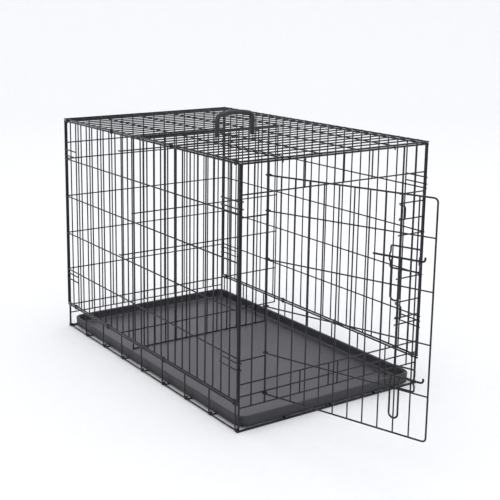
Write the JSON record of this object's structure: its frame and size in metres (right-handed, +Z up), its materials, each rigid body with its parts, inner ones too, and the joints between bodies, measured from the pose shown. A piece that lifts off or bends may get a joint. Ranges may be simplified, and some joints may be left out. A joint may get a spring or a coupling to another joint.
{
  "type": "wire dog crate",
  "caption": "Folding wire dog crate with a side-hung bolted door, lift-up top with carry handle, slide-out tray and sliding divider.",
  "frame": {"origin": "middle of the footprint, on the floor, at the underside of the base's middle floor wire", "axes": "+X across the width towards the latch side of the doorway, +Y from the door end to the back, +Z up"},
  "size_m": [0.594, 1.3124, 0.7312],
  "materials": {
    "powder_coat": "black powder coat",
    "latch_coat": "black powder coat, slightly glossier",
    "ring_steel": "blackened steel wire",
    "tray_plastic": "charcoal moulded plastic",
    "grip_plastic": "black moulded plastic"
  },
  "bodies": {
    "base": {"base_grid": "powder_coat", "front_panel": "powder_coat", "back_panel": "powder_coat", "upper_strike": "latch_coat", "lower_strike": "latch_coat", "left_base_ring_1": "ring_steel", "left_base_ring_2": "ring_steel", "left_base_ring_3": "ring_steel", "left_base_ring_4": "ring_steel", "right_base_ring_1": "ring_steel", "right_base_ring_2": "ring_steel", "right_base_ring_3": "ring_steel", "right_base_ring_4": "ring_steel"},
    "left_wall": {"left_panel": "powder_coat", "top_ring_1": "ring_steel", "top_ring_2": "ring_steel", "top_ring_3": "ring_steel", "top_ring_4": "ring_steel"},
    "right_wall": {"right_panel": "powder_coat"},
    "top": {"top_panel": "powder_coat"},
    "handle": {"carry_handle": "grip_plastic", "handle_clip_left": "ring_steel", "handle_clip_right": "ring_steel"},
    "door": {"front_door": "powder_coat", "upper_keeper": "latch_coat", "lower_keeper": "latch_coat"},
    "upper_bolt": {"upper_bolt": "latch_coat"},
    "lower_bolt": {"lower_bolt": "latch_coat"},
    "pan": {"slide_out_pan": "tray_plastic"},
    "divider": {"divider_panel": "powder_coat"}
  },
  "joints": [
    {"name": "door_swing", "type": "hinge", "parent": "base", "child": "door", "pos_m": [-0.212, -0.455, 0.35], "axis": [0, 0, -1], "range_deg": [-71, 94]},
    {"name": "upper_bolt_slide", "type": "slide", "parent": "door", "child": "upper_bolt", "axis": [-0.3256, 0.9455, 0], "range_m": [-0.028, 0]},
    {"name": "lower_bolt_slide", "type": "slide", "parent": "door", "child": "lower_bolt", "axis": [-0.3256, 0.9455, 0], "range_m": [-0.019, 0.009]},
    {"name": "pan_slide", "type": "slide", "parent": "base", "child": "pan", "axis": [0, -1, 0], "range_m": [0, 0.285]},
    {"name": "divider_slide", "type": "slide", "parent": "base", "child": "divider", "axis": [0, 1, 0], "range_m": [-0.575, 0.285]},
    {"name": "left_wall_fold", "type": "hinge", "parent": "base", "child": "left_wall", "pos_m": [-0.2925, 0, 0.078], "axis": [0, 1, 0], "range_deg": [-90, 0]},
    {"name": "right_wall_fold", "type": "hinge", "parent": "base", "child": "right_wall", "pos_m": [0.2925, 0, 0.078], "axis": [0, 1, 0], "range_deg": [0, 90]},
    {"name": "top_lift", "type": "hinge", "parent": "left_wall", "child": "top", "pos_m": [-0.2925, 0, 0.652], "axis": [0, -1, 0], "range_deg": [0, 180]},
    {"name": "handle_tilt", "type": "hinge", "parent": "top", "child": "handle", "pos_m": [-0.1105, -0.175, 0.6532], "axis": [1, 0, 0], "range_deg": [-55, 55]}
  ]
}
